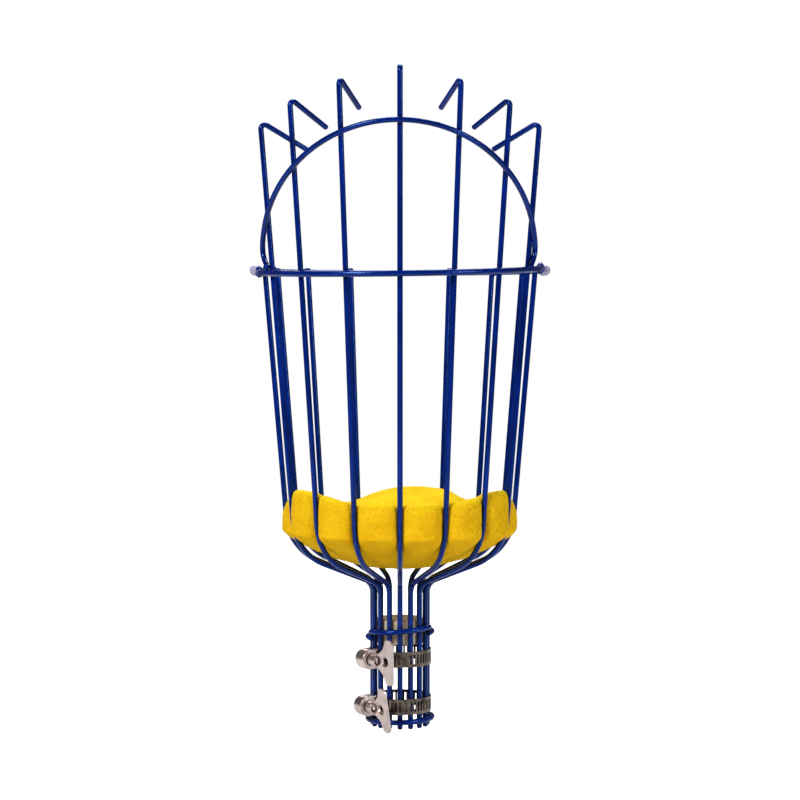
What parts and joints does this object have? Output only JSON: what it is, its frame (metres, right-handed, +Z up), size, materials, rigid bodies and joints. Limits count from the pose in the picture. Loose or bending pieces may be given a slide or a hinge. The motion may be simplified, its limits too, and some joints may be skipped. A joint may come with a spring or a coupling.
{
  "type": "fruit picker basket",
  "caption": "Wire fruit picker head: hooked tines above a hooped basket, a foam pad in its floor, and a wire neck with wing-key hose clamps that grip a pole.",
  "frame": {"origin": "on the neck's axis, level with the lower ends of the wires, where the pole enters", "axes": "+Z up along the neck to the tines' hooked tops; -Y is the side with the tall tines; +X is to the right seen from -Y"},
  "size_m": [0.157, 0.1552, 0.3389],
  "materials": {
    "coated_wire": "glossy",
    "vinyl_cap": "satin",
    "foam": "matte",
    "stop_plug": "matte",
    "clamp_steel": "satin",
    "key_steel": "satin"
  },
  "bodies": {
    "basket": {"tall_tine_centre": "coated_wire", "tall_tine_inner_left": "coated_wire", "tall_tine_inner_right": "coated_wire", "tall_tine_middle_left": "coated_wire", "tall_tine_middle_right": "coated_wire", "tall_tine_outer_left": "coated_wire", "tall_tine_outer_right": "coated_wire", "short_wire_side_left": "coated_wire", "short_wire_side_right": "coated_wire", "short_wire_rear_outer_left": "coated_wire", "short_wire_rear_outer_right": "coated_wire", "short_wire_rear_middle_left": "coated_wire", "short_wire_rear_middle_right": "coated_wire", "short_wire_rear_inner_left": "coated_wire", "short_wire_rear_inner_right": "coated_wire", "short_wire_rear_centre": "coated_wire", "rim_hoop_front": "coated_wire", "rim_hoop_rear": "coated_wire", "guard_arch": "coated_wire", "neck_ring_front": "coated_wire", "neck_ring_rear": "coated_wire", "foot_ring": "coated_wire", "rim_end_cap_left": "vinyl_cap", "rim_end_cap_right": "vinyl_cap", "foam_pad": "foam", "pole_stop": "stop_plug", "upper_clamp_band": "clamp_steel", "upper_clamp_housing": "clamp_steel", "lower_clamp_band": "clamp_steel", "lower_clamp_housing": "clamp_steel"},
    "upper_screw": {"upper_clamp_screw": "key_steel", "upper_clamp_wing_key": "key_steel"},
    "upper_tail": {"upper_clamp_band_tail": "clamp_steel"},
    "lower_screw": {"lower_clamp_screw": "key_steel", "lower_clamp_wing_key": "key_steel"},
    "lower_tail": {"lower_clamp_band_tail": "clamp_steel"}
  },
  "joints": [
    {"name": "upper_screw_turn", "type": "hinge", "parent": "basket", "child": "upper_screw", "pos_m": [-0.01645, -0.0124, 0.0367], "axis": [0.6018, -0.7986, 0], "range_deg": [0, 1080]},
    {"name": "upper_tail_feed", "type": "hinge", "parent": "basket", "child": "upper_tail", "pos_m": [0, 0, 0.0367], "axis": [0, 0, -1], "range_deg": [0, 21]},
    {"name": "lower_screw_turn", "type": "hinge", "parent": "basket", "child": "lower_screw", "pos_m": [-0.01747, -0.01092, 0.012], "axis": [0.5299, -0.848, 0], "range_deg": [0, 1080]},
    {"name": "lower_tail_feed", "type": "hinge", "parent": "basket", "child": "lower_tail", "pos_m": [0, 0, 0.012], "axis": [0, 0, -1], "range_deg": [0, 21]}
  ],
  "couplings": [
    {"joint": "upper_tail_feed", "follows": "upper_screw_turn", "ratio": 0.019},
    {"joint": "lower_tail_feed", "follows": "lower_screw_turn", "ratio": 0.019}
  ]
}
